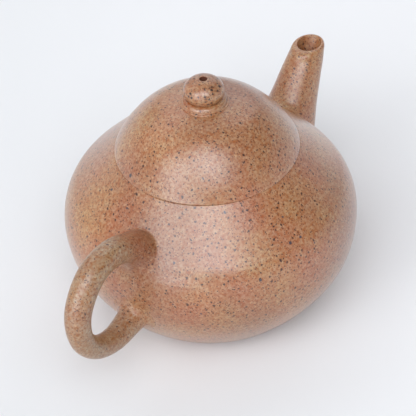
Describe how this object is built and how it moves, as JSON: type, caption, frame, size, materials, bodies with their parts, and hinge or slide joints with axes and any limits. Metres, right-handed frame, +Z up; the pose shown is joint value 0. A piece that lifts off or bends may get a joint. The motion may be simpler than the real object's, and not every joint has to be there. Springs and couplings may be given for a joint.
{
  "type": "clay teapot",
  "caption": "Round unglazed stoneware teapot with a short tapered spout, a looped side handle and a domed lift-off lid with a pierced ball knob.",
  "frame": {"origin": "bottom centre of the whole teapot's box: on the surface it stands on, midway between the spout's tip and the handle's back; the pot's own turning axis is 3.3 mm from it towards the spout", "axes": "+X from the handle towards the spout, +Z up along the pot's turning axis, Y across the pot; the XZ plane is its plane of symmetry"},
  "size_m": [0.1484, 0.095, 0.0859],
  "materials": {
    "stoneware_body": "unglazed, burnished to a soft sheen, speckled with dark iron grains",
    "stoneware_lid": "unglazed, burnished to a soft sheen, speckled with dark iron grains",
    "stoneware_handle": "unglazed, burnished to a soft sheen, speckled with dark iron grains",
    "stoneware_inside": "unglazed, trimmed and left matt"
  },
  "bodies": {
    "pot": {"base_disc": "stoneware_body", "belly_wall": "stoneware_body", "shoulder_slab": "stoneware_body", "mouth_ring": "stoneware_inside", "spout": "stoneware_body", "spout_strainer": "stoneware_inside", "handle": "stoneware_handle"},
    "lid": {"lid_dome": "stoneware_lid", "lid_seat_ring": "stoneware_lid", "lid_flange": "stoneware_inside", "knob_collar": "stoneware_lid", "knob": "stoneware_lid"}
  },
  "joints": [
    {"name": "lid_lift", "type": "slide", "parent": "pot", "child": "lid", "axis": [0, 0, 1], "range_m": [0, 0.05]}
  ]
}
